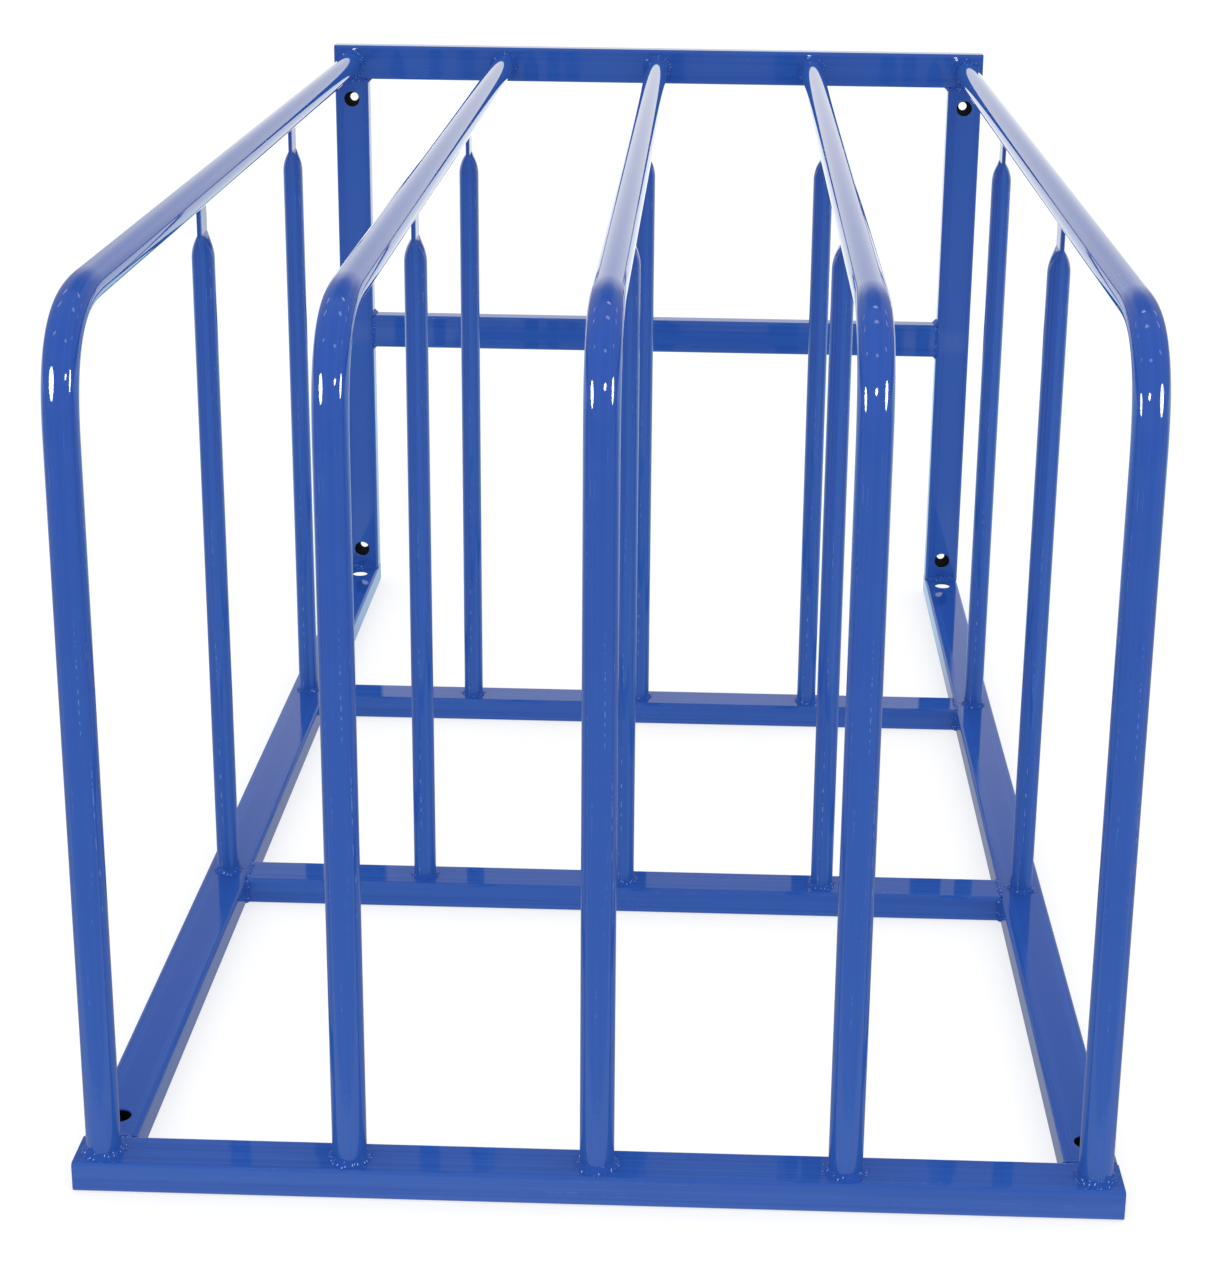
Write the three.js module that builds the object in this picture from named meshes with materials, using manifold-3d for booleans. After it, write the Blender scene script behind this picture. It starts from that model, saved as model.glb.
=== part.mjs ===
// A vertical sheet rack with four bays, welded from steel tube and painted blue.
//
// A rectangular tube frame lies on the floor: a front beam, two side rails and two cross tubes. A back frame
// of the same tube stands on the rear ends of the side rails. Five round dividers rise from the front beam,
// bend back and run level to the top rail of the back frame. Under each divider stand two thinner posts,
// pressed flat at the top where they meet it. Everything is joined by welds, so nothing moves.
//
// Millimetres. X runs across the bays, Y from front to back, Z up. The origin is on the floor, at the centre
// of the rack's outline.

import * as THREE from 'three';
import { mergeVertices } from 'three/addons/utils/BufferGeometryUtils.js';
import Module from 'manifold-3d';

// Overall size
const WIDTH = 970;
const DEPTH = 1760;
const HEIGHT = 855;

// Rectangular tube, used for every straight member of the base and the back frame
const TUBE_WIDE = 50;
const TUBE_THIN = 30;
const TUBE_WALL = 2;
const TUBE_CORNER = 4;

// Dividers: one over each side rail, the rest spaced evenly between
const DIVIDER_COUNT = 5;
const DIVIDER_DIAMETER = 32;
const DIVIDER_BEND_RADIUS = 90;
const DIVIDER_TOP = HEIGHT - 11;

// Posts under the dividers
const POST_DIAMETER = 25;
const BLADE_THICKNESS = 5.2;
const BLADE_WIDTH = 36;
const BLADE_HEIGHT = 31;
const SHOULDER_HEIGHT = 27;

const ROUND_WALL = 2;

// Distances behind the middle of the front beam, and heights above the floor
const FRONT_CROSS_SETBACK = 600;
const REAR_CROSS_SETBACK = 1175;
const MID_RAIL_TOP = 442;
const UPRIGHT_HOLE_HEIGHTS = [62, 775];
const FLOOR_HOLE_FROM_BEAM = 35;
const FLOOR_HOLE_FROM_UPRIGHT = 27;

// Each anchor hole is wide in the near wall, for the bolt head and socket, and narrow in the far wall.
const ACCESS_HOLE_DIAMETER = 23;
const BOLT_HOLE_DIAMETER = 12;

// Welded faces stand this far apart.
const WELD_GAP = 0.3;

// Facets
const DIVIDER_SIDES = 20;
const POST_SIDES = 16;
const HOLE_SIDES = 20;
const CORNER_STEPS = 4;
const BEND_STEPS = 10;
const SHOULDER_STEPS = 4;

// A shape splits each arc into this many times its curveSegments.
const STEPS_PER_ARC_SEGMENT = 2;

// Positions that follow from the sizes above
const FRONT_Y = -DEPTH / 2;
const BACK_Y = DEPTH / 2;
const BEAM_Y = FRONT_Y + TUBE_WIDE / 2;
const BEAM_REAR_Y = FRONT_Y + TUBE_WIDE;
const BACK_FRAME_Y = BACK_Y - TUBE_THIN / 2;
const BACK_FRAME_FRONT_Y = BACK_Y - TUBE_THIN;
const SIDE_X = WIDTH / 2 - TUBE_WIDE / 2;
const DIVIDER_PITCH = (2 * SIDE_X) / (DIVIDER_COUNT - 1);
const ARM_Z = DIVIDER_TOP - DIVIDER_DIAMETER / 2;
const TOP_RAIL_UNDERSIDE = HEIGHT - TUBE_WIDE;

const wasm = await Module();
wasm.setup();

const paint = new THREE.MeshStandardMaterial({ color: 0x2b4fa8, roughness: 0.25, metalness: 0.0 });

// ---- Solids: cutting one closed geometry out of another ----

function toSolid(geometry) {
  const bare = geometry.clone();
  bare.deleteAttribute('normal');
  bare.deleteAttribute('uv');
  const merged = mergeVertices(bare, 1e-4);
  return new wasm.Manifold(new wasm.Mesh({
    numProp: 3,
    vertProperties: new Float32Array(merged.attributes.position.array),
    triVerts: new Uint32Array(merged.index.array),
  }));
}

function toGeometry(solid) {
  const mesh = solid.getMesh();
  const geometry = new THREE.BufferGeometry();
  geometry.setAttribute('position', new THREE.BufferAttribute(mesh.vertProperties, 3));
  geometry.setIndex(new THREE.BufferAttribute(mesh.triVerts, 1));
  geometry.computeVertexNormals();
  return geometry;
}

function cut(geometry, cutters) {
  let solid = toSolid(geometry);
  for (const cutter of cutters) {
    solid = solid.subtract(toSolid(cutter));
  }
  return toGeometry(solid);
}

// ---- Rectangular tube ----

function roundedRectangle(shape, wide, thin, radius) {
  const x = wide / 2 - radius;
  const y = thin / 2 - radius;
  shape.absarc(x, y, radius, 0, Math.PI / 2);
  shape.absarc(-x, y, radius, Math.PI / 2, Math.PI);
  shape.absarc(-x, -y, radius, Math.PI, 1.5 * Math.PI);
  shape.absarc(x, -y, radius, 1.5 * Math.PI, 2 * Math.PI);
  shape.closePath();
  return shape;
}

// Its length runs along Z and is centred, the wide side faces Y and the thin side faces X.
function rectangularTube(length) {
  const section = roundedRectangle(new THREE.Shape(), TUBE_WIDE, TUBE_THIN, TUBE_CORNER);
  const bore = roundedRectangle(
    new THREE.Path(), TUBE_WIDE - 2 * TUBE_WALL, TUBE_THIN - 2 * TUBE_WALL, TUBE_CORNER - TUBE_WALL);
  section.holes.push(bore);
  const tube = new THREE.ExtrudeGeometry(
    section, { depth: length, bevelEnabled: false, curveSegments: CORNER_STEPS / STEPS_PER_ARC_SEGMENT });
  return tube.translate(0, 0, -length / 2);
}

// Cutters for one anchor hole at a height along the tube: wide in the -Y wall, narrow in the +Y wall.
function anchorHoleCutters(along) {
  const reach = TUBE_THIN;
  const wide = new THREE.CylinderGeometry(
    ACCESS_HOLE_DIAMETER / 2, ACCESS_HOLE_DIAMETER / 2, reach, HOLE_SIDES);
  const narrow = new THREE.CylinderGeometry(
    BOLT_HOLE_DIAMETER / 2, BOLT_HOLE_DIAMETER / 2, reach, HOLE_SIDES);
  return [wide.translate(0, -reach / 2, along), narrow.translate(0, reach / 2, along)];
}

function tubeWithAnchorHoles(length, holePlaces) {
  return cut(rectangularTube(length), holePlaces.flatMap(anchorHoleCutters));
}

// ---- Round tube: a straight extrusion whose rings are moved to stations ----

function circle(path, radius) {
  path.absarc(0, 0, radius, 0, 2 * Math.PI);
  return path;
}

// The extrusion's ring number k goes to place(k), which maps the ring's own x and y to a point.
function ringSweep(section, sides, ringCount, place) {
  const steps = ringCount - 1;
  const geometry = new THREE.ExtrudeGeometry(
    section, { depth: steps, steps, bevelEnabled: false, curveSegments: sides / STEPS_PER_ARC_SEGMENT });
  const position = geometry.attributes.position;
  for (let i = 0; i < position.count; i += 1) {
    const ring = Math.round(position.getZ(i));
    const point = place(ring)(position.getX(i), position.getY(i));
    position.setXYZ(i, point.x, point.y, point.z);
  }
  geometry.computeVertexNormals();
  return geometry;
}

// One divider, in the plane X = 0: up from the front beam, through the bend, and level to the back frame.
function dividerGeometry() {
  const section = circle(new THREE.Shape(), DIVIDER_DIAMETER / 2);
  section.holes.push(circle(new THREE.Path(), DIVIDER_DIAMETER / 2 - ROUND_WALL));

  const bendY = BEAM_Y + DIVIDER_BEND_RADIUS;
  const bendZ = ARM_Z - DIVIDER_BEND_RADIUS;
  const stations = [{ y: BEAM_Y, z: TUBE_THIN + WELD_GAP, angle: 0 }];
  for (let i = 0; i <= BEND_STEPS; i += 1) {
    const angle = (i / BEND_STEPS) * (Math.PI / 2);
    stations.push({
      y: bendY - DIVIDER_BEND_RADIUS * Math.cos(angle),
      z: bendZ + DIVIDER_BEND_RADIUS * Math.sin(angle),
      angle,
    });
  }
  stations.push({ y: BACK_FRAME_FRONT_Y - WELD_GAP, z: ARM_Z, angle: Math.PI / 2 });

  return ringSweep(section, DIVIDER_SIDES, stations.length, (ring) => (x, v) => {
    const { y, z, angle } = stations[ring];
    return new THREE.Vector3(x, y + v * Math.cos(angle), z - v * Math.sin(angle));
  });
}

// One post, on the axis X = Y = 0: round from its foot to the shoulder, then pressed to a flat blade.
function postGeometry() {
  const foot = TUBE_THIN + WELD_GAP;
  const top = ARM_Z - DIVIDER_DIAMETER / 2 - WELD_GAP;
  const bladeStart = top - BLADE_HEIGHT;
  const shoulderStart = bladeStart - SHOULDER_HEIGHT;

  const stations = [{ z: foot, pressed: 0 }];
  for (let i = 0; i <= SHOULDER_STEPS; i += 1) {
    const part = i / SHOULDER_STEPS;
    const pressed = 0.5 - 0.5 * Math.cos(Math.PI * part);
    stations.push({ z: shoulderStart + part * SHOULDER_HEIGHT, pressed });
  }
  stations.push({ z: top, pressed: 1 });

  const section = circle(new THREE.Shape(), POST_DIAMETER / 2);
  const outside = ringSweep(section, POST_SIDES, stations.length, (ring) => (x, y) => {
    const { z, pressed } = stations[ring];
    const thickness = THREE.MathUtils.lerp(1, BLADE_THICKNESS / POST_DIAMETER, pressed);
    const width = THREE.MathUtils.lerp(1, BLADE_WIDTH / POST_DIAMETER, pressed);
    return new THREE.Vector3(x * thickness, y * width, z);
  });

  const boreRadius = POST_DIAMETER / 2 - ROUND_WALL;
  const boreLength = shoulderStart - foot;
  const bore = new THREE.CylinderGeometry(boreRadius, boreRadius, 2 * boreLength, POST_SIDES);
  bore.rotateX(Math.PI / 2).rotateZ(Math.PI / 2).translate(0, 0, foot);
  return cut(outside, [bore]);
}

// ---- Assembly ----

const rack = new THREE.Group();

function add(name, geometry, x, y, z, turn) {
  const mesh = new THREE.Mesh(geometry, paint);
  mesh.name = name;
  mesh.position.set(x, y, z);
  if (turn) {
    mesh.quaternion.copy(turn);
  }
  rack.add(mesh);
}

function turned(tubeX, tubeY, tubeZ) {
  return new THREE.Quaternion().setFromRotationMatrix(new THREE.Matrix4().makeBasis(tubeX, tubeY, tubeZ));
}

const RIGHT = new THREE.Vector3(1, 0, 0);
const BACKWARD = new THREE.Vector3(0, 1, 0);
const FORWARD = new THREE.Vector3(0, -1, 0);
const UP = new THREE.Vector3(0, 0, 1);
const DOWN = new THREE.Vector3(0, 0, -1);

const ACROSS_LYING = turned(BACKWARD, UP, RIGHT);
const ACROSS_ON_EDGE = turned(DOWN, BACKWARD, RIGHT);
const FRONT_TO_BACK = turned(RIGHT, DOWN, BACKWARD);

// Base
const baseZ = TUBE_THIN / 2;
add('front_beam', rectangularTube(WIDTH), 0, BEAM_Y, baseZ, ACROSS_LYING);

const railStart = BEAM_REAR_Y + WELD_GAP;
const railLength = BACK_Y - railStart;
const railMiddle = railStart + railLength / 2;
const floorHoles = [
  BEAM_REAR_Y + FLOOR_HOLE_FROM_BEAM - railMiddle,
  BACK_FRAME_FRONT_Y - FLOOR_HOLE_FROM_UPRIGHT - railMiddle,
];
for (const [side, sign] of [['left', -1], ['right', 1]]) {
  const rail = tubeWithAnchorHoles(railLength, floorHoles);
  add(`side_rail_${side}`, rail, sign * SIDE_X, railMiddle, baseZ, FRONT_TO_BACK);
}

const insideWidth = WIDTH - 2 * TUBE_WIDE - 2 * WELD_GAP;
const crossRows = [['front', BEAM_Y + FRONT_CROSS_SETBACK], ['rear', BEAM_Y + REAR_CROSS_SETBACK]];
for (const [row, y] of crossRows) {
  add(`cross_tube_${row}`, rectangularTube(insideWidth), 0, y, baseZ, ACROSS_LYING);
}

// Back frame
const uprightBottom = TUBE_THIN + WELD_GAP;
const uprightLength = TOP_RAIL_UNDERSIDE - WELD_GAP - uprightBottom;
const uprightMiddle = uprightBottom + uprightLength / 2;
for (const [side, sign] of [['left', -1], ['right', 1]]) {
  const upright = tubeWithAnchorHoles(uprightLength, UPRIGHT_HOLE_HEIGHTS.map((z) => z - uprightMiddle));
  add(`back_upright_${side}`, upright, sign * SIDE_X, BACK_FRAME_Y, uprightMiddle);
}
const topRailZ = HEIGHT - TUBE_WIDE / 2;
const midRailZ = MID_RAIL_TOP - TUBE_WIDE / 2;
add('back_top_rail', rectangularTube(WIDTH), 0, BACK_FRAME_Y, topRailZ, ACROSS_ON_EDGE);
add('back_mid_rail', rectangularTube(insideWidth), 0, BACK_FRAME_Y, midRailZ, ACROSS_ON_EDGE);

// Dividers and their posts
for (let i = 0; i < DIVIDER_COUNT; i += 1) {
  const x = (i - (DIVIDER_COUNT - 1) / 2) * DIVIDER_PITCH;
  add(`divider_hoop_${i + 1}`, dividerGeometry(), x, 0, 0);
  for (const [row, y] of crossRows) {
    add(`${row}_post_${i + 1}`, postGeometry(), x, y, 0);
  }
}

export default rack;
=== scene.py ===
"""The looks of the four-bay sheet rack: fine tubes, weld beads, glossy blue paint, floor, light and camera.

Metres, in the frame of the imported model: X across the bays, Y from the open front to the back frame, Z up.
Each tube is built again with fine facets inside its CAD node's box, and the weld beads are added at the
joints that the boxes give.
"""
import math
import random

import bpy
import bmesh
from mathutils import Matrix, Vector, noise


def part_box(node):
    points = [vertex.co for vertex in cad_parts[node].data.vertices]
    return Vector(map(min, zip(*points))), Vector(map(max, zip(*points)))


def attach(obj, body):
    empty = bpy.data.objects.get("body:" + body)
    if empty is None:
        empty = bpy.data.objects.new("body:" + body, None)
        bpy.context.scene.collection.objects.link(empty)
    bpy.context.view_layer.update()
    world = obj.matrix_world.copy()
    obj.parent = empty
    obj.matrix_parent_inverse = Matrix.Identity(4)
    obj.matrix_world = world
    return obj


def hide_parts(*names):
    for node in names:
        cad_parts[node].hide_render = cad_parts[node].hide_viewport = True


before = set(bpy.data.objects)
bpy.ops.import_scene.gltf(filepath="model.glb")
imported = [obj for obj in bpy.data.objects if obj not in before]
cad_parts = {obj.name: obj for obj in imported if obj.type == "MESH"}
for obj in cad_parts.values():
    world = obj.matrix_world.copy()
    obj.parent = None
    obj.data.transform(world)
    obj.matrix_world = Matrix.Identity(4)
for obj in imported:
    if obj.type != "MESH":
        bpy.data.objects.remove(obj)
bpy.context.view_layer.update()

X, Y, Z = Vector((1, 0, 0)), Vector((0, 1, 0)), Vector((0, 0, 1))
SIDES = ("left", "right")
ROWS = ("front", "rear")
DIVIDERS = range(1, 6)

# ---- Sizes that the boxes of the CAD nodes don't give ----
TUBE_WALL = 0.002
TUBE_CORNER = 0.004
TUBE_INNER_CORNER = 0.002
EDGE_ROUNDING = 0.0004
RIM_ANGLE = math.radians(60)

DIVIDER_BEND = 0.090
BEND_EASING = 0.65
BEND_FLATTENING = 0.10
BEND_WIDENING = 0.012
BEND_WRINKLES = 11
BEND_WRINKLE_HEIGHT = 0.00022

BLADE_THICKNESS = 0.0052
BLADE_HEIGHT = 0.031
BLADE_EDGE_SWELLING = 0.16
SHOULDER_HEIGHT = 0.027
SHOULDER_SUPPORT = 0.0015

# Radii of the anchor holes, and where they are
ACCESS_HOLE = 0.0115
BOLT_HOLE = 0.006
UPRIGHT_HOLE_HEIGHTS = (0.062, 0.775)
FLOOR_HOLE_FROM_BEAM = 0.035
FLOOR_HOLE_FROM_UPRIGHT = 0.027

# The cutter of a hole: its length, and how far it starts before the near face and before the far face
CUTTER_LENGTH = 0.020
CUTTER_BEFORE_NEAR_FACE = 0.005
CUTTER_BEFORE_FAR_FACE = 0.010

# ---- Studio ----
WHITE = (1, 1, 1, 1)
FLOOR_HALF_SIZE = 30.0
FLOOR_SINK = 0.0005

# The floor that the camera sees: white paper that glows, so that only a faint shadow shows on it
PAPER_COLOUR = (0.36, 0.36, 0.36, 1)
PAPER_GLOW = 0.68

# The soft light that falls on everything: from the floor, and from the room below and above
FLOOR_BOUNCE = 0.83
TENT_GLOW_LOW, TENT_GLOW_HIGH = 1.16, 1.02

# What the paint mirrors of the floor: (distance behind the middle of the rack, brightness of the floor
# there). The stretch under the rack, from -0.80 to 0.3, is dimmer than the paper just in front: a painted
# shadow of the rack.
FLOOR_MIRRORED = (
    (-3.2, 0.38), (-2.4, 0.45), (-1.04, 0.45), (-1.0, 0.74), (-0.87, 0.74),
    (-0.80, 0.42), (0.3, 0.44), (0.7, 1.0), (2.0, 1.3), (3.6, 1.30),
)
FLOOR_COLOUR = (0.97, 1.0, 0.99, 1)
FLOOR_BEHIND_COLOUR = (0.70, 0.90, 1.0, 1)
FLOOR_BEHIND_START = (0.3, 0.7)
FLOOR_BEHIND_END = (2.4, 3.2)

# What it mirrors of the room behind the rack: (rise of the line of sight, brightness of the room there)
REAR_ROOM_MIRRORED = (
    (0.0, 1.28), (0.12, 1.20), (0.24, 1.06), (0.37, 0.80), (0.44, 0.48),
    (0.52, 0.30), (0.66, 0.17), (0.76, 0.20), (0.86, 0.48),
)
SIDE_ROOM_MIRRORED = 0.46
BACKDROP_COLOUR = (1.0, 0.99, 0.93, 1)
BACKDROP_SIDEWAYS = (0.40, 0.18)
BACKDROP_BEHIND = (0.0, 0.3)

# ---- Facets ----
CORNER_STEPS = 8
DIVIDER_SIDES = 64
BEND_STEPS = 40
POST_SIDES = 56
SHOULDER_STEPS = 22
HOLE_SIDES = 56

# ---- Welds ----
FILLET_LEG = 0.0056
POST_FILLET_LEG = 0.0044
BLADE_FILLET_LEG = 0.0028
FILLET_HOLLOWNESS = 2.1
SEAM_HALF_WIDTH = 0.0042
SEAM_HEIGHT = 0.0009
SEAM_SINK = 0.0006
SEAM_ROUGHNESS = 0.8
BEAD_BURIED = 0.0008
PROFILE_STEPS = 12
PROFILE_GRAIN_STEP = 0.0005

# An open bead stops this far short of an edge, and tapers to that share of its size over that length.
BEAD_CLEAR = 0.001
BEAD_END_SIZE = 0.45
BEAD_END = 0.004

# The round arm's underside, out at the face of a blade: its height over the middle, and its slope
ARM_CURVE_RISE, ARM_CURVE_SLOPE = 0.0004, 0.25

# How uneven a bead is: (share of its size, repeats in a metre) of slow and quick changes, then its lumps
SLOW_SWELL, SLOW_SWELL_REPEATS = 0.34, 95
QUICK_SWELL, QUICK_SWELL_REPEATS = 0.12, 420
BEAD_LUMPS, BEAD_LUMP_REPEATS = 0.00030, 520

# Its ripples: crescents a pitch apart that lean back in the middle of the bead and wander a little
RIPPLE_PITCH = 0.0024
RIPPLE_STEPS = 6
RIPPLE_VALLEY, RIPPLE_DEPTH = 0.92, 0.10
RIPPLE_LEAN = 1.6
RIPPLE_WANDER, RIPPLE_WANDER_REPEATS = 0.8, 60

# Drops of spatter round a foot: (how many, how far from the tube)
DIVIDER_SPATTER = (14, 0.007)
POST_SPATTER = (8, 0.008)
SPATTER_SIZES = (0.00025, 0.0007)


# ---- Materials ----

def node_maker(material):
    """A function that adds a node to the material and wires values or other nodes' outputs to its inputs."""
    tree = material.node_tree

    def make(kind, inputs=None, **settings):
        node = tree.nodes.new(kind)
        for key, value in settings.items():
            setattr(node, key, value)
        for key, value in (inputs or {}).items():
            if isinstance(value, bpy.types.NodeSocket):
                tree.links.new(value, node.inputs[key])
            else:
                node.inputs[key].default_value = value
        return node

    return make


def ramp(make, value, low, high):
    """value mapped so that low gives 0 and high gives 1."""
    return make("ShaderNodeMapRange", {"Value": value, "From Min": low, "From Max": high}).outputs["Result"]


def smooth_ramp(make, value, low, high):
    """ramp with soft ends. low may lie above high."""
    return make("ShaderNodeMapRange", {"Value": value, "From Min": low, "From Max": high},
                interpolation_type="SMOOTHSTEP").outputs["Result"]


def between(make, factor, low, high):
    """The value that lies factor of the way from low to high."""
    return make("ShaderNodeMapRange", {"Value": factor, "To Min": low, "To Max": high}).outputs["Result"]


# A Mix node has sockets for numbers, vectors and colours. These are the ones for colours.
MIX_FACTOR, MIX_FIRST, MIX_SECOND = 0, 6, 7
MIX_RESULT = 2


def blended(make, factor, first, second):
    """The colour that lies factor of the way from first to second."""
    inputs = {MIX_FACTOR: factor, MIX_FIRST: first, MIX_SECOND: second}
    return make("ShaderNodeMix", inputs, data_type="RGBA").outputs[MIX_RESULT]


def product(make, first, second):
    return make("ShaderNodeMath", {0: first, 1: second}, operation="MULTIPLY").outputs[0]


def grain_noise(make, grain, scale, **inputs):
    """Noise in the tube's own straight frame, so that it runs along a bent tube."""
    mapped = make("ShaderNodeMapping", {"Vector": grain, "Scale": scale}).outputs["Vector"]
    return make("ShaderNodeTexNoise", {"Vector": mapped, "Scale": 1.0, **inputs}).outputs["Fac"]


def bump(make, height, distance, under=None):
    """The normal of a surface with that relief, laid over the relief of another normal where one is given."""
    inputs = {"Height": height, "Strength": 1.0, "Distance": distance}
    if under is not None:
        inputs["Normal"] = under
    return make("ShaderNodeBump", inputs).outputs["Normal"]


BLUE = (0.0190, 0.077, 0.368, 1)
DEEP_BLUE = (0.0145, 0.068, 0.350, 1)
LIGHT_STREAK = (0.0260, 0.100, 0.405, 1)
DARK_STREAK = (0.0075, 0.052, 0.310, 1)
THIN_BLUE = (0.030, 0.110, 0.42, 1)
# The pale blue of the dashes along fine scratches: painted glints, the lamps' light caught in the scratches
SCRATCH_GLINT_BLUE = (0.20, 0.32, 0.62, 1)
# Pale specks on the weld paint: painted glints, the lamps caught on small facets and spatter of the bead
GLINT_SPECK = (0.66, 0.90, 1.0, 1)
DARK_STEEL = (0.050, 0.049, 0.050, 1)
RUST = (0.085, 0.044, 0.026, 1)

# Repeats in a metre of each pattern, across the tube in both directions and then along it
BLOTCHES = (9, 9, 5)
STREAKS = (240, 240, 1.0)
# Fine scratch lines, and the breaks that cut them into the dashes of painted glint
SCRATCH_GLINT_LINES = (700, 700, 9)
SCRATCH_GLINT_BREAKS = (60, 60, 160)
DRAWN_LINES = (420, 420, 2.5)
ORANGE_PEEL = (230, 230, 90)
COARSE_GRAINS = (480, 480, 480)
HAZE = (22, 22, 14)
RUST_PATCHES = (60, 60, 40)
# The cells of the pale specks of painted glint, and the share of them that show
GLINT_SPECK_CELLS = 800.0
GLINTING_SPECK_CELLS = (0.80, 0.84)
DRAWN_LINE_HEIGHT = 0.000006
THIN_PAINT = 0.55


def paint_material(name, waves, lumps, streaked, scratch_glints=0.0, gloss=0.5, speck_glints=0.0):
    """Glossy blue enamel over drawn steel tube.

    waves is the height in metres of the shallow unevenness, and lumps that of the coarse grains. streaked,
    from 0 to 1, is how much the streaks show. The next share, from 0 to 1, is how much the pale dashes along
    the fine scratches show, which are painted glints of the lamps caught in them. gloss is how strongly it
    mirrors. The last share, from 0 to 1, is how much the pale specks on a weld show, which are painted
    glints.
    """
    material = bpy.data.materials.new(name)
    material.use_nodes = True
    material.node_tree.nodes.clear()
    make = node_maker(material)
    grain = make("ShaderNodeAttribute", attribute_name="grain").outputs["Vector"]

    # Colour: blotches, then streaks, thin paint on the edges, pale dashes along fine scratches that are
    # painted glints, and pale specks that are painted glints
    blotches = grain_noise(make, grain, BLOTCHES, Detail=3.0)
    streaks = grain_noise(make, grain, STREAKS, Detail=2.0)
    light = between(make, ramp(make, streaks, 0.50, 0.64), 0.0, streaked)
    dark = between(make, ramp(make, streaks, 0.48, 0.36), 0.0, streaked)
    colour = blended(make, ramp(make, blotches, 0.35, 0.68), DEEP_BLUE, BLUE)
    colour = blended(make, light, colour, LIGHT_STREAK)
    colour = blended(make, dark, colour, DARK_STREAK)

    edges = ramp(make, make("ShaderNodeNewGeometry").outputs["Pointiness"], 0.515, 0.60)
    colour = blended(make, between(make, edges, 0.0, THIN_PAINT), colour, THIN_BLUE)

    # Painted glints: pale dashes along fine scratches, where the lamps' light would catch in them
    scratch_glint_lines = ramp(make, grain_noise(make, grain, SCRATCH_GLINT_LINES, Detail=0.0), 0.74, 0.82)
    breaks = ramp(make, grain_noise(make, grain, SCRATCH_GLINT_BREAKS, Detail=1.0), 0.50, 0.62)
    scratch_glint_dashes = product(make, scratch_glint_lines, breaks)
    colour = blended(make, between(make, scratch_glint_dashes, 0.0, scratch_glints), colour, SCRATCH_GLINT_BLUE)

    # Painted glints: pale specks on a share of small cells, for the lamps caught on a weld's facets
    cells = make("ShaderNodeTexVoronoi", {"Vector": grain, "Scale": GLINT_SPECK_CELLS})
    spots = ramp(make, cells.outputs["Distance"], 0.34, 0.18)
    lot = make("ShaderNodeSeparateColor", {"Color": cells.outputs["Color"]}).outputs["Red"]
    glint_specks = product(make, spots, ramp(make, lot, *GLINTING_SPECK_CELLS))
    colour = blended(make, between(make, glint_specks, 0.0, speck_glints), colour, GLINT_SPECK)

    # Relief: the lines of the drawn tube, shallow grooves under the streaks, orange peel and coarse grains
    normal = bump(make, grain_noise(make, grain, DRAWN_LINES, Detail=2.0), DRAWN_LINE_HEIGHT)
    normal = bump(make, streaks, 2 * waves, normal)
    normal = bump(make, grain_noise(make, grain, ORANGE_PEEL, Detail=1.5), waves, normal)
    normal = bump(make, grain_noise(make, grain, COARSE_GRAINS, Detail=2.0), lumps, normal)

    haze = grain_noise(make, grain, HAZE, Detail=4.0)
    shader = make("ShaderNodeBsdfPrincipled", {
        "Base Color": colour,
        "Roughness": between(make, haze, 0.015, 0.06),
        "IOR": 1.5,
        "Specular IOR Level": gloss,
        "Normal": normal,
    })
    make("ShaderNodeOutputMaterial", {"Surface": shader.outputs["BSDF"]})
    return material


def bare_steel_material():
    """The unpainted, lightly rusted steel inside a tube."""
    material = bpy.data.materials.new("bare_steel_inside")
    material.use_nodes = True
    material.node_tree.nodes.clear()
    make = node_maker(material)
    grain = make("ShaderNodeAttribute", attribute_name="grain").outputs["Vector"]
    rust = grain_noise(make, grain, RUST_PATCHES, Detail=5.0)
    pitted = make("ShaderNodeBump", {"Height": rust, "Strength": 0.6, "Distance": 0.0001})
    shader = make("ShaderNodeBsdfPrincipled", {
        "Base Color": blended(make, ramp(make, rust, 0.52, 0.72), DARK_STEEL, RUST),
        "Metallic": 0.35,
        "Roughness": between(make, rust, 0.45, 0.8),
        "Normal": pitted.outputs["Normal"],
    })
    make("ShaderNodeOutputMaterial", {"Surface": shader.outputs["BSDF"]})
    return material


DIVIDER_PAINT = paint_material(
    "blue_paint", waves=0.000002, lumps=0.000001, streaked=0.2, scratch_glints=0.45)
POST_PAINT = paint_material(
    "blue_paint_on_posts", waves=0.000005, lumps=0.000001, streaked=0.85, scratch_glints=0.5)
FLAT_PAINT = paint_material(
    "blue_paint_on_flats", waves=0.000009, lumps=0.000001, streaked=0.6, scratch_glints=0.12)
WELD_PAINT = paint_material(
    "blue_paint_over_weld", waves=0.000003, lumps=0.00003, streaked=0.0, gloss=0.16, speck_glints=0.9)
BARE_STEEL = bare_steel_material()
OUTSIDE, INSIDE = 0, 1


# ---- Mesh helpers ----

def new_mesh():
    """A bmesh with the grain attribute: each point's place in its tube's own straight frame."""
    bm = bmesh.new()
    return bm, bm.verts.layers.float_vector.new("grain")


def add_ring(bm, layer, points, grains):
    """A loop of new points, each with its place in the straight frame."""
    ring = []
    for point, grain in zip(points, grains):
        vert = bm.verts.new(point)
        vert[layer] = grain
        ring.append(vert)
    return ring


def join_rings(bm, first, second, material=OUTSIDE):
    """A band of faces from one ring to the next."""
    for i in range(len(first)):
        j = (i + 1) % len(first)
        face = bm.faces.new((first[i], first[j], second[j], second[i]))
        face.material_index = material
        face.smooth = True


def sharpen_ring(bm, ring):
    """Keeps the shading on either side of a ring's edges apart."""
    for i, vert in enumerate(ring):
        bm.edges.get((vert, ring[(i + 1) % len(ring)])).smooth = False


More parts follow.
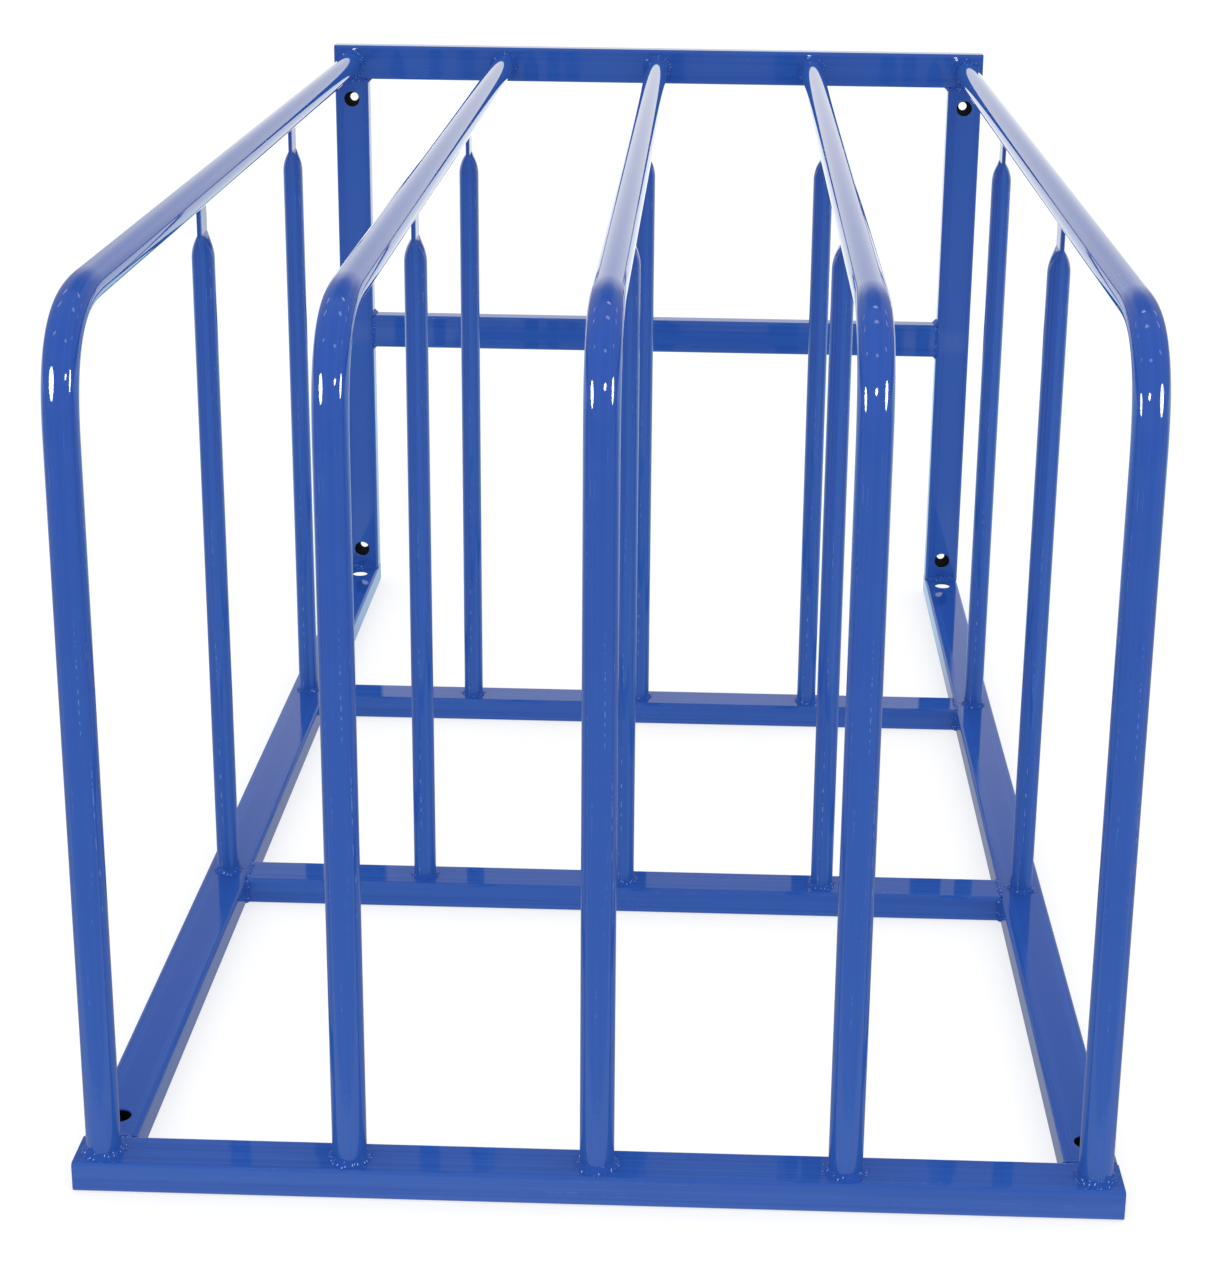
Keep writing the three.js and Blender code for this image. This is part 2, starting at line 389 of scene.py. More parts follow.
def finish_piece(bm, name, materials, nodes=()):
    """Turns the bmesh into a piece of the rack that stands for the named CAD nodes."""
    bmesh.ops.recalc_face_normals(bm, faces=bm.faces)
    mesh = bpy.data.meshes.new(name)
    bm.to_mesh(mesh)
    bm.free()
    piece = bpy.data.objects.new(name, mesh)
    bpy.context.scene.collection.objects.link(piece)
    for material in materials:
        mesh.materials.append(material)
    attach(piece, "root")
    if nodes:
        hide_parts(*nodes)
    return piece


def apply_modifiers(piece):
    graph = bpy.context.evaluated_depsgraph_get()
    made = bpy.data.meshes.new_from_object(piece.evaluated_get(graph))
    old = piece.data
    piece.modifiers.clear()
    piece.data = made
    bpy.data.meshes.remove(old)


# ---- Rectangular tubes ----

def rounded_section(wide, thin, radius):
    """Points of a rectangle with round corners, centred on the origin."""
    points = []
    for quarter, (sx, sy) in enumerate(((1, 1), (-1, 1), (-1, -1), (1, -1))):
        for step in range(CORNER_STEPS + 1):
            angle = (quarter + step / CORNER_STEPS) * math.pi / 2
            points.append((
                sx * (wide / 2 - radius) + radius * math.cos(angle),
                sy * (thin / 2 - radius) + radius * math.sin(angle),
            ))
    return points


def drill(piece, centre, direction, radius):
    """Cuts a round hole of that radius from centre, along direction, far enough for one wall."""
    bm = bmesh.new()
    turn = direction.to_track_quat("Z", "Y").to_matrix().to_4x4()
    place = Matrix.Translation(centre + direction * CUTTER_LENGTH / 2) @ turn
    bmesh.ops.create_cone(bm, cap_ends=True, segments=HOLE_SIDES, radius1=radius, radius2=radius,
                          depth=CUTTER_LENGTH, matrix=place)
    mesh = bpy.data.meshes.new("cutter")
    bm.to_mesh(mesh)
    bm.free()
    cutter = bpy.data.objects.new("cutter", mesh)
    bpy.context.scene.collection.objects.link(cutter)
    boolean = piece.modifiers.new("hole", "BOOLEAN")
    boolean.operation = "DIFFERENCE"
    boolean.solver = "EXACT"
    boolean.object = cutter
    apply_modifiers(piece)
    bpy.data.objects.remove(cutter)
    bpy.data.meshes.remove(mesh)


def rectangular_tube(node, holes=()):
    """An open-ended rectangular tube that fills the CAD node's box. holes are (centre, direction, radius)."""
    low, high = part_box(node)
    size = high - low
    along = max(range(3), key=lambda axis: size[axis])
    across, up = [axis for axis in range(3) if axis != along]
    middle = (low + high) / 2
    bm, layer = new_mesh()

    def ring(inset, place):
        corner = TUBE_CORNER - inset * (TUBE_CORNER - TUBE_INNER_CORNER) / TUBE_WALL
        points, grains = [], []
        for a, b in rounded_section(size[across] - 2 * inset, size[up] - 2 * inset, corner):
            point = middle.copy()
            point[across] += a
            point[up] += b
            point[along] = place
            points.append(point)
            grains.append((a, b, point[along]))
        return add_ring(bm, layer, points, grains)

    # From the outside over the rounded lip into the bore: (depth into the wall, distance from the tube's end)
    lip = (
        (0, EDGE_ROUNDING),
        (EDGE_ROUNDING, 0),
        (TUBE_WALL - EDGE_ROUNDING, 0),
        (TUBE_WALL, EDGE_ROUNDING),
    )
    rings = [ring(inset, high[along] - back) for inset, back in lip]
    rings += [ring(inset, low[along] + back) for inset, back in reversed(lip)]
    bore_start = len(lip) - 1
    for i, first in enumerate(rings):
        second = rings[(i + 1) % len(rings)]
        join_rings(bm, first, second, INSIDE if i == bore_start else OUTSIDE)

    piece = finish_piece(bm, f"{node}_tube", (FLAT_PAINT, BARE_STEEL), (node,))
    for centre, direction, radius in holes:
        drill(piece, centre, direction, radius)
    if holes:
        bevel = piece.modifiers.new("rim", "BEVEL")
        bevel.width = EDGE_ROUNDING
        bevel.segments = 2
        bevel.limit_method = "ANGLE"
        bevel.angle_limit = RIM_ANGLE
        apply_modifiers(piece)
        for polygon in piece.data.polygons:
            polygon.use_smooth = True
    normals = piece.modifiers.new("flat faces stay flat", "WEIGHTED_NORMAL")
    normals.keep_sharp = True
    return piece


def anchor_holes(node, places, direction):
    """Holes through both walls of a tube: wide where the bolt's head goes in, narrow in the far wall.

    A place is (x, y, z), with None for the tube's own middle.
    """
    low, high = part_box(node)
    middle = (low + high) / 2
    half = abs((high - low).dot(direction)) / 2
    holes = []
    for place in places:
        centre = Vector(tuple(middle[i] if p is None else p for i, p in enumerate(place)))
        near = centre - direction * (half + CUTTER_BEFORE_NEAR_FACE)
        far = centre + direction * (half - CUTTER_BEFORE_FAR_FACE)
        holes.append((near, direction, ACCESS_HOLE))
        holes.append((far, direction, BOLT_HOLE))
    return holes


# ---- Round tubes ----

def round_tube(name, node, paint, rings_outside, rings_inside, closed_top):
    """A tube wall from rings outside and inside. Each ring is (points, grains), from the foot to the top."""
    bm, layer = new_mesh()
    outside = [add_ring(bm, layer, *ring) for ring in rings_outside]
    inside = [add_ring(bm, layer, *ring) for ring in rings_inside]
    for first, second in zip(outside, outside[1:]):
        join_rings(bm, first, second)
    for first, second in zip(inside, inside[1:]):
        join_rings(bm, first, second, INSIDE)
    join_rings(bm, outside[0], inside[0], INSIDE)
    if closed_top:
        bm.faces.new(outside[-1])
        bm.faces.new(inside[-1]).material_index = INSIDE
    else:
        join_rings(bm, outside[-1], inside[-1], INSIDE)
    for ring in (outside[0], inside[0], outside[-1], inside[-1]):
        sharpen_ring(bm, ring)
    return finish_piece(bm, name, (paint, BARE_STEEL), (node,))


def bend_angle(part):
    """How far the tube has turned from straight up, part of the way along its quarter bend."""
    return math.pi / 2 * (part - BEND_EASING * math.sin(2 * math.pi * part) / (2 * math.pi))


def bend_path():
    """A quarter bend from straight up to straight back: its points, and its length.

    A point is (part of the way, angle, distance back, distance up) from the lower end. The curvature eases in
    and out, and the middle is as far from the corner as that of a round bend.
    """
    back, up = 0.0, 0.0
    path = [(0.0, 0.0, back, up)]
    for step in range(BEND_STEPS):
        heading = bend_angle((step + 0.5) / BEND_STEPS)
        back += math.sin(heading) / BEND_STEPS
        up += math.cos(heading) / BEND_STEPS
        part = (step + 1) / BEND_STEPS
        path.append((part, bend_angle(part), back, up))
    _, _, middle_back, middle_up = path[BEND_STEPS // 2]
    length = (math.sqrt(2) - 1) * DIVIDER_BEND / math.hypot(middle_back, up - middle_up)
    return [(part, angle, back * length, up * length) for part, angle, back, up in path], length


def divider_rings(node, wall):
    """Rings of a divider's surface: up the leg, round the bend, along the arm."""
    low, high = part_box(node)
    radius = (high.x - low.x) / 2
    x, leg_y, arm_z = (low.x + high.x) / 2, low.y + radius, high.z - radius
    bend, bend_length = bend_path()
    _, _, bend_back, bend_up = bend[-1]
    bend_z = arm_z - bend_up

    # Each station is (place, angle, distance along the tube, part of the way round the bend).
    leg_length = bend_z - low.z
    arm_length = high.y - leg_y - bend_back
    stations = [(Vector((x, leg_y, low.z)), 0.0, 0.0, 0.0)]
    for part, angle, back, up in bend:
        place = Vector((x, leg_y + back, bend_z + up))
        stations.append((place, angle, leg_length + part * bend_length, part))
    stations.append((Vector((x, high.y, arm_z)), math.pi / 2, leg_length + bend_length + arm_length, 1.0))

    # Where it is bent, the tube is flattened outside, a little wider, and wrinkled inside.
    rings = []
    for place, angle, along, part in stations:
        squeeze = math.sin(math.pi * part) ** 1.6
        outward = Vector((0, -math.cos(angle), math.sin(angle)))
        points, grains = [], []
        for i in range(DIVIDER_SIDES):
            turn = 2 * math.pi * i / DIVIDER_SIDES
            side, out = math.cos(turn), math.sin(turn)
            flat = 1 - BEND_FLATTENING * squeeze * max(out, 0) ** 2
            wave = math.sin(part * math.pi * BEND_WRINKLES)
            wrinkle = BEND_WRINKLE_HEIGHT * squeeze * max(-out, 0) ** 3 * wave
            reach = radius - wall + wrinkle
            sideways = 1 + BEND_WIDENING * squeeze
            points.append(place + X * side * reach * sideways + outward * out * reach * flat)
            grains.append((side * radius, out * radius, along))
        rings.append((points, grains))
    return rings


def post_section(radius, width, thickness, pressed, turn):
    """A point of a post's section, part pressed from a circle of that radius to a flat blade.

    The blade is a little thicker along its two folded edges, which are round.
    """
    side, back = math.cos(turn), math.sin(turn)
    blade_y = width / 2 * math.copysign(abs(back) ** 0.75, back)
    edge = abs(blade_y) / (width / 2)
    swelling = 1 + BLADE_EDGE_SWELLING * edge ** 4
    roundness = max(0.0, 1 - edge ** 9) ** 0.5
    blade_x = thickness / 2 * math.copysign(1, side) * swelling * roundness
    return (
        radius * side * (1 - pressed) + blade_x * pressed,
        radius * back * (1 - pressed) + blade_y * pressed,
    )


def pressed_at(part):
    """How far the post is pressed flat, from 0 to 1, part of the way up its shoulder."""
    return 1 - (1 - part ** 1.9) ** 0.80


def post_rings(node, wall):
    """Rings of a post's surface: round from the foot to the shoulder, then pressed to a blade.

    The bore, which a wall thickness asks for, ends below the shoulder.
    """
    low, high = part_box(node)
    radius, width = (high.x - low.x) / 2, high.y - low.y
    x, y = (low.x + high.x) / 2, (low.y + high.y) / 2
    blade_z = high.z - BLADE_HEIGHT
    shoulder_z = blade_z - SHOULDER_HEIGHT

    stations = [(low.z, 0.0)]
    if wall:
        stations.append((shoulder_z, 0.0))
    else:
        for step in range(SHOULDER_STEPS + 1):
            part = math.sin(math.pi / 2 * step / SHOULDER_STEPS)
            stations.append((shoulder_z + part * SHOULDER_HEIGHT, pressed_at(part)))
        stations.append((blade_z + SHOULDER_SUPPORT, 1.0))
        stations.append((high.z, 1.0))

    rings = []
    for z, pressed in stations:
        points, grains = [], []
        for i in range(POST_SIDES):
            turn = 2 * math.pi * (i + 0.5) / POST_SIDES
            a, b = post_section(radius - wall, width, BLADE_THICKNESS, pressed, turn)
            points.append(Vector((x + a, y + b, z)))
            grains.append((a, b, z))
        rings.append((points, grains))
    return rings


# ---- Weld beads ----

def fillet_profile(leg):
    """Section of a hollow fillet: (reach along one surface, along the other, place from 0 to 1)."""
    shape = []
    for step in range(PROFILE_STEPS):
        part = step / (PROFILE_STEPS - 1)
        shape.append((
            leg * math.cos(part * math.pi / 2) ** FILLET_HOLLOWNESS,
            leg * math.sin(part * math.pi / 2) ** FILLET_HOLLOWNESS,
            part,
        ))
    return shape


def seam_profile(half_width, height):
    """Section of a bead that lies over a flush seam: (across the seam, above it, place from 0 to 1)."""
    shape = []
    for step in range(PROFILE_STEPS):
        part = step / (PROFILE_STEPS - 1)
        turn = math.pi * part
        shape.append((half_width * math.cos(turn), height * math.sin(turn) ** 0.8, part))
    return shape


def bead(bm, layer, path, profile, buried, closed, seed, roughness=1.0):
    """A rippled weld along path. Each path entry is (point, first direction, second direction).

    buried gives the hidden points of the section, inside the steel, in the profile's two directions.
    roughness is 1 for a usual bead and less for a smooth one.
    """
    lengths = [0.0]
    for (first, *_), (second, *_) in zip(path, path[1:]):
        lengths.append(lengths[-1] + (second - first).length)
    total = lengths[-1] + ((path[0][0] - path[-1][0]).length if closed else 0)

    rings = []
    for (point, a, b), along in zip(path, lengths):
        slow = Vector((along * SLOW_SWELL_REPEATS, seed * 3.1, 0.0))
        quick = Vector((along * QUICK_SWELL_REPEATS, seed * 7.3, 5.0))
        wander = Vector((along * RIPPLE_WANDER_REPEATS, seed, 2.0))
        swell = 1 + SLOW_SWELL * roughness * noise.noise(slow)
        swell += QUICK_SWELL * roughness * noise.noise(quick)
        if not closed:
            from_end = min(along, total - along) / BEAD_END
            swell *= BEAD_END_SIZE + (1 - BEAD_END_SIZE) * min(1.0, max(0.0, from_end)) ** 0.5
        points = []
        for p, q, part in profile:
            crescent = RIPPLE_LEAN * RIPPLE_PITCH * (1 - (2 * part - 1) ** 2)
            phase = (along + crescent) / RIPPLE_PITCH + RIPPLE_WANDER * noise.noise(wander)
            ripple = abs(math.sin(math.pi * phase)) ** 0.55
            middle = math.sin(math.pi * part) ** 0.5
            scale = swell * (RIPPLE_VALLEY + RIPPLE_DEPTH * roughness * ripple * middle)
            spot = point + a * p * scale + b * q * scale
            lump = BEAD_LUMPS * roughness * middle * noise.noise(spot * BEAD_LUMP_REPEATS)
            points.append(spot + (a + b) * lump)
        for p, q in buried:
            points.append(point + a * p + b * q)
        grains = [(point.x + i * PROFILE_GRAIN_STEP, point.y, along + point.z) for i in range(len(points))]
        rings.append(add_ring(bm, layer, points, grains))

    for first, second in zip(rings, rings[1:]):
        join_rings(bm, first, second)
    if closed:
        join_rings(bm, rings[-1], rings[0])
    else:
        bm.faces.new(rings[0])
        bm.faces.new(rings[-1])


def line_path(start, end, a, b):
    """A straight path. a and b are the directions of the two surfaces that the bead joins."""
    steps = max(4, round((end - start).length / RIPPLE_PITCH * RIPPLE_STEPS))
    return [(start.lerp(end, i / steps), a, b) for i in range(steps + 1)]


def circle_path(centre, axis, radius):
    """A circle round axis. The first direction is the axis, the second points outward."""
    u = axis.orthogonal().normalized()
    v = axis.cross(u)
    steps = round(2 * math.pi * radius / RIPPLE_PITCH * RIPPLE_STEPS)
    path = []
    for i in range(steps):
        turn = 2 * math.pi * i / steps
        outward = u * math.cos(turn) + v * math.sin(turn)
        path.append((centre + outward * radius, axis, outward))
    return path


def fillet(bm, layer, path, leg, closed, seed):
    buried = ((-BEAD_BURIED, leg * 0.5), (-BEAD_BURIED, -BEAD_BURIED), (leg * 0.5, -BEAD_BURIED))
    bead(bm, layer, path, fillet_profile(leg), buried, closed, seed)


def fillet_line(bm, layer, start, end, a, b, leg, seed):
    fillet(bm, layer, line_path(start, end, a, b), leg, False, seed)


def fillet_circle(bm, layer, centre, axis, radius, leg, seed):
    fillet(bm, layer, circle_path(centre, axis, radius), leg, True, seed)


def seam_line(bm, layer, start, end, across, normal, seed):
    """A low bead over the seam between two flush faces, sunk a little into them."""
    sunk = normal * SEAM_SINK
    path = line_path(start - sunk, end - sunk, across, normal)
    buried = ((SEAM_HALF_WIDTH * 0.5, -2 * BEAD_BURIED), (-SEAM_HALF_WIDTH * 0.5, -2 * BEAD_BURIED))
    profile = seam_profile(SEAM_HALF_WIDTH, SEAM_HEIGHT)
    bead(bm, layer, path, profile, buried, False, seed, SEAM_ROUGHNESS)


def spatter(bm, layer, centre, axis, inner, outer, count, seed):
    """Small drops of weld metal, painted over, on the flat round a joint, thickest near it."""
    draw = random.Random(seed)
    u = axis.orthogonal().normalized()
    v = axis.cross(u)
    for _ in range(count):
        turn = draw.uniform(0, 2 * math.pi)
        reach = inner + (outer - inner) * draw.random() ** 1.6
        size = draw.uniform(*SPATTER_SIZES)
        place = centre + (u * math.cos(turn) + v * math.sin(turn)) * reach
        made = bmesh.ops.create_icosphere(bm, subdivisions=2, radius=size, matrix=Matrix.Translation(place))
        for vert in made["verts"]:
            vert[layer] = vert.co
            for face in vert.link_faces:
                face.smooth = True


def weld_piece(name, build):
    """One piece that holds a group of beads, which build(bm, layer) adds."""
    bm, layer = new_mesh()
    build(bm, layer)
    return finish_piece(bm, name, (WELD_PAINT,))


# The seeds differ from one divider to the next and from left to right, so that neighbours don't look alike.

def divider_foot_welds(bm, layer):
    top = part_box("front_beam")[1].z
    count, spread = DIVIDER_SPATTER
    for i in DIVIDERS:
        low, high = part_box(f"divider_hoop_{i}")
        radius = (high.x - low.x) / 2
        centre = Vector(((low.x + high.x) / 2, low.y + radius, top))
        fillet_circle(bm, layer, centre, Z, radius, FILLET_LEG, seed=i)
        spatter(bm, layer, centre, Z, radius + FILLET_LEG, radius + spread, count, seed=20 + i)


def arm_end_welds(bm, layer):
    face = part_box("back_top_rail")[0].y
    for i in DIVIDERS:
        low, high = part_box(f"divider_hoop_{i}")
        radius = (high.x - low.x) / 2
        centre = Vector(((low.x + high.x) / 2, face, high.z - radius))
        fillet_circle(bm, layer, centre, -Y, radius, FILLET_LEG, seed=30 + i)


def post_foot_welds(row):
    def build(bm, layer):
        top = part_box(f"cross_tube_{row}")[1].z
        count, spread = POST_SPATTER
        for i in DIVIDERS:
            low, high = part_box(f"{row}_post_{i}")
            radius = (high.x - low.x) / 2
            centre = Vector(((low.x + high.x) / 2, (low.y + high.y) / 2, top))
            fillet_circle(bm, layer, centre, Z, radius, POST_FILLET_LEG, seed=40 + i)
            spatter(bm, layer, centre, Z, radius + POST_FILLET_LEG, radius + spread, count, seed=60 + i)
    return build


def blade_welds(row):
    """The fillets on either side of each blade, up against the round arm over it."""
    def build(bm, layer):
        for i in DIVIDERS:
            low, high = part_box(f"{row}_post_{i}")
            x = (low.x + high.x) / 2
            for side in (-1, 1):
                start = Vector((x + side * BLADE_THICKNESS / 2, low.y + BEAD_CLEAR, high.z + ARM_CURVE_RISE))
                end = Vector((start.x, high.y - BEAD_CLEAR, start.z))
                outward = (X * side + Z * ARM_CURVE_SLOPE).normalized()
                fillet_line(bm, layer, start, end, -Z, outward, BLADE_FILLET_LEG, seed=80 + 2 * i + side)
    return build


def base_corner_welds(bm, layer):
    """The side rails against the front beam: a seam on top, a fillet in the inner corner."""
    beam_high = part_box("front_beam")[1]
    for side, name in zip((-1, 1), SIDES):
        low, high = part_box(f"side_rail_{name}")
        seam_y = (beam_high.y + low.y) / 2
        inner_x = high.x if side < 0 else low.x
        outer_x = low.x if side < 0 else high.x
        start = Vector((outer_x - side * TUBE_CORNER, seam_y, high.z))
        end = Vector((inner_x + side * TUBE_CORNER, seam_y, high.z))
        seam_line(bm, layer, start, end, Y, Z, seed=100 + side)
        bottom = Vector((inner_x, beam_high.y, low.z + BEAD_CLEAR))
        top = Vector((inner_x, beam_high.y, high.z - 2 * BEAD_CLEAR))
        fillet_line(bm, layer, bottom, top, Y, -X * side, FILLET_LEG, seed=104 + side)


def cross_end_welds(row):
    def build(bm, layer):
        low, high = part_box(f"cross_tube_{row}")
        for side, name in zip((-1, 1), SIDES):
            rail_low, rail_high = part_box(f"side_rail_{name}")
            x = rail_high.x if side < 0 else rail_low.x
            inward = -X * side
            start = Vector((x, low.y + TUBE_CORNER, high.z))
            end = Vector((x, high.y - TUBE_CORNER, high.z))
            seam_line(bm, layer, start, end, X, Z, seed=110 + side)
            for y, outward in ((low.y, -Y), (high.y, Y)):
                bottom = Vector((x, y, low.z + BEAD_CLEAR))
                top = Vector((x, y, high.z - BEAD_CLEAR))
                fillet_line(bm, layer, bottom, top, inward, outward, FILLET_LEG, seed=114 + side)
    return build


def back_frame_welds(bm, layer):
    """The feet of the uprights, and the ends of the top rail and the mid rail."""
    under_top_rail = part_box("back_top_rail")[0].z
    mid_low, mid_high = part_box("back_mid_rail")
    for side, name in zip((-1, 1), SIDES):
        low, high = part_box(f"back_upright_{name}")
        rail_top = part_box(f"side_rail_{name}")[1].z
        left, right = low.x + TUBE_CORNER, high.x - TUBE_CORNER
        inner_x = high.x if side < 0 else low.x
        inward = -X * side
        faces = ((low.y, -Y), (high.y, Y))

        # The foot on the side rail, and the seams of its outer and inner sides
        start = Vector((left, low.y, rail_top))
        end = Vector((right, low.y, rail_top))
        fillet_line(bm, layer, start, end, Z, -Y, FILLET_LEG, seed=120 + side)
        for x, outward in ((low.x, -X), (high.x, X)):
            start = Vector((x, low.y + TUBE_CORNER, rail_top))
            end = Vector((x, high.y - TUBE_CORNER, rail_top))
            seam_line(bm, layer, start, end, Z, outward, seed=123 + side)

        # The top rail's seams, front and back, and the fillet under it
        for y, outward in faces:
            start = Vector((left, y, under_top_rail))
            end = Vector((right, y, under_top_rail))
            seam_line(bm, layer, start, end, Z, outward, seed=126 + side)
        start = Vector((inner_x, low.y + BEAD_CLEAR, under_top_rail))
        end = Vector((inner_x, high.y - BEAD_CLEAR, under_top_rail))
        fillet_line(bm, layer, start, end, -Z, inward, FILLET_LEG, seed=129 + side)

        # The mid rail's seams, front and back, and the fillets over and under it
        for y, outward in faces:
            start = Vector((inner_x, y, mid_low.z + TUBE_CORNER))
            end = Vector((inner_x, y, mid_high.z - TUBE_CORNER))
            seam_line(bm, layer, start, end, X, outward, seed=132 + side)
        for z, away in ((mid_low.z, -Z), (mid_high.z, Z)):
            start = Vector((inner_x, low.y + BEAD_CLEAR, z))
            end = Vector((inner_x, high.y - BEAD_CLEAR, z))
            fillet_line(bm, layer, start, end, away, inward, FILLET_LEG, seed=135 + side)


# ---- The rack ----

def build_rectangular_tubes():
    rectangular_tube("front_beam")
    rectangular_tube("back_top_rail")
    rectangular_tube("back_mid_rail")
    for row in ROWS:
        rectangular_tube(f"cross_tube_{row}")
    hole_ys = (
        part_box("front_beam")[1].y + FLOOR_HOLE_FROM_BEAM,
        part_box("back_upright_left")[0].y - FLOOR_HOLE_FROM_UPRIGHT,
    )
    for side in SIDES:
        rail, upright = f"side_rail_{side}", f"back_upright_{side}"
        rectangular_tube(rail, anchor_holes(rail, [(None, y, None) for y in hole_ys], -Z))
        rectangular_tube(upright, anchor_holes(upright, [(None, None, z) for z in UPRIGHT_HOLE_HEIGHTS], Y))


def build_round_tubes():
    """The dividers and the posts under them. Gives back the dividers."""
    dividers = []
    for i in DIVIDERS:
        node = f"divider_hoop_{i}"
        outside, inside = divider_rings(node, 0), divider_rings(node, TUBE_WALL)
        dividers.append(round_tube(f"{node}_tube", node, DIVIDER_PAINT, outside, inside, closed_top=False))
        for row in ROWS:
            node = f"{row}_post_{i}"
            outside, inside = post_rings(node, 0), post_rings(node, TUBE_WALL)
            round_tube(f"{node}_tube", node, POST_PAINT, outside, inside, closed_top=True)
    return dividers


def build_welds():
    weld_piece("weld_divider_feet", divider_foot_welds)
    weld_piece("weld_arm_ends", arm_end_welds)
    weld_piece("weld_base_corners", base_corner_welds)
    weld_piece("weld_back_frame", back_frame_welds)
    for row in ROWS:
        weld_piece(f"weld_post_feet_{row}", post_foot_welds(row))
        weld_piece(f"weld_blades_{row}", blade_welds(row))
        weld_piece(f"weld_cross_tube_{row}", cross_end_welds(row))


# ---- Floor, light and camera ----

def by_ray(make, seen, mirrored, diffuse):
    """What the camera sees, what gloss mirrors, and the light that falls on everything."""
    path = make("ShaderNodeLightPath")
    light = make("ShaderNodeMixShader", {0: path.outputs["Is Glossy Ray"], 1: diffuse, 2: mirrored})
    surface = make("ShaderNodeMixShader", {0: path.outputs["Is Camera Ray"], 1: light.outputs[0], 2: seen})
    return surface.outputs[0]


def brightness_along(make, value, stops):
    """A brightness that runs straight between the (value, brightness) stops."""
    low, high = stops[0][0], stops[-1][0]
    brightest = max(brightness for _, brightness in stops)
    scale = make("ShaderNodeValToRGB", {"Fac": ramp(make, value, low, high)})
    elements = scale.color_ramp.elements
    elements.remove(elements[-1])
    for i, (place, brightness) in enumerate(stops):
        element = elements.new((place - low) / (high - low)) if i else elements[0]
        grey = brightness / brightest
        element.color = (grey, grey, grey, 1)
    return product(make, scale.outputs["Color"], brightest)


def build_floor():
    """A pale studio floor. The camera sees white paper, and the paint mirrors dim and bright bands of it."""
    bm = bmesh.new()
    bmesh.ops.create_grid(bm, x_segments=1, y_segments=1, size=FLOOR_HALF_SIZE)
    mesh = bpy.data.meshes.new("studio_floor")
    bm.to_mesh(mesh)
    bm.free()
    floor = bpy.data.objects.new("studio_floor", mesh)
    floor.location.z = -FLOOR_SINK
    bpy.context.scene.collection.objects.link(floor)
    material = bpy.data.materials.new("pale_floor")
    material.use_nodes = True
    material.node_tree.nodes.clear()
    make = node_maker(material)
    seen = make("ShaderNodeBsdfPrincipled", {
        "Base Color": PAPER_COLOUR,
        "Roughness": 1.0,
        "Specular IOR Level": 0.0,
        "Emission Color": WHITE,
        "Emission Strength": PAPER_GLOW,
    })
    place = make("ShaderNodeSeparateXYZ", {"Vector": make("ShaderNodeNewGeometry").outputs["Position"]})
    setback = place.outputs["Y"]
    colour = blended(make, smooth_ramp(make, setback, *FLOOR_BEHIND_START), FLOOR_COLOUR, FLOOR_BEHIND_COLOUR)
    colour = blended(make, smooth_ramp(make, setback, *FLOOR_BEHIND_END), colour, FLOOR_COLOUR)
    mirrored = make("ShaderNodeEmission", {
        "Color": colour, "Strength": brightness_along(make, setback, FLOOR_MIRRORED)})
    bounce = make("ShaderNodeEmission", {"Color": WHITE, "Strength": FLOOR_BOUNCE})
    surface = by_ray(make, seen.outputs[0], mirrored.outputs[0], bounce.outputs[0])
    make("ShaderNodeOutputMaterial", {"Surface": surface})
    mesh.materials.append(material)


def build_world():
    """Even light all round, and what the gloss mirrors: a bright backdrop low behind, in a dim room."""
    world = bpy.data.worlds.new("studio")
    world.use_nodes = True
    bpy.context.scene.world = world
    world.node_tree.nodes.clear()
    make = node_maker(world)
    direction = make("ShaderNodeSeparateXYZ", {
        "Vector": make("ShaderNodeTexCoord").outputs["Generated"]})
    sideways = make("ShaderNodeMath", {0: direction.outputs["X"]}, operation="ABSOLUTE").outputs[0]
    behind = product(
        make,
        smooth_ramp(make, sideways, *BACKDROP_SIDEWAYS),
        smooth_ramp(make, direction.outputs["Y"], *BACKDROP_BEHIND),
    )
    strength = make("ShaderNodeMix", {
        "Factor": behind,
        "A": SIDE_ROOM_MIRRORED,
        "B": brightness_along(make, direction.outputs["Z"], REAR_ROOM_MIRRORED),
    })
    mirrored = make("ShaderNodeBackground", {
        "Strength": strength.outputs["Result"], "Color": BACKDROP_COLOUR})
    glow = between(make, direction.outputs["Z"], TENT_GLOW_LOW, TENT_GLOW_HIGH)
    even = make("ShaderNodeBackground", {"Strength": glow, "Color": WHITE})
    seen = make("ShaderNodeBackground", {"Strength": 1.0, "Color": WHITE})
    surface = by_ray(make, seen.outputs[0], mirrored.outputs[0], even.outputs[0])
    make("ShaderNodeOutputWorld", {"Surface": surface})


def add_light(name, place, target, size, radiance, shape="ELLIPSE"):
    """A softbox of that size, (width, height), and radiance that faces target."""
    wide, tall = size
    light = bpy.data.lights.new(name, "AREA")
    light.shape = shape
    light.size, light.size_y = wide, tall
    area = wide * tall * (math.pi / 4 if shape == "ELLIPSE" else 1)
    light.energy = radiance * math.pi * area
    lamp = bpy.data.objects.new(name, light)
    lamp.location = place
    lamp.rotation_euler = (Vector(target) - Vector(place)).to_track_quat("-Z", "Y").to_euler()
    bpy.context.scene.collection.objects.link(lamp)
    lamp.visible_camera = False
    return lamp


# The soft light from the front: (name, place, target, size)
FRONT_LAMP = ("front_light", (0.1, -3.4, 2.4), (0, -0.6, 0.4), (2.4, 1.4))
FRONT_RADIANCE = 2.2

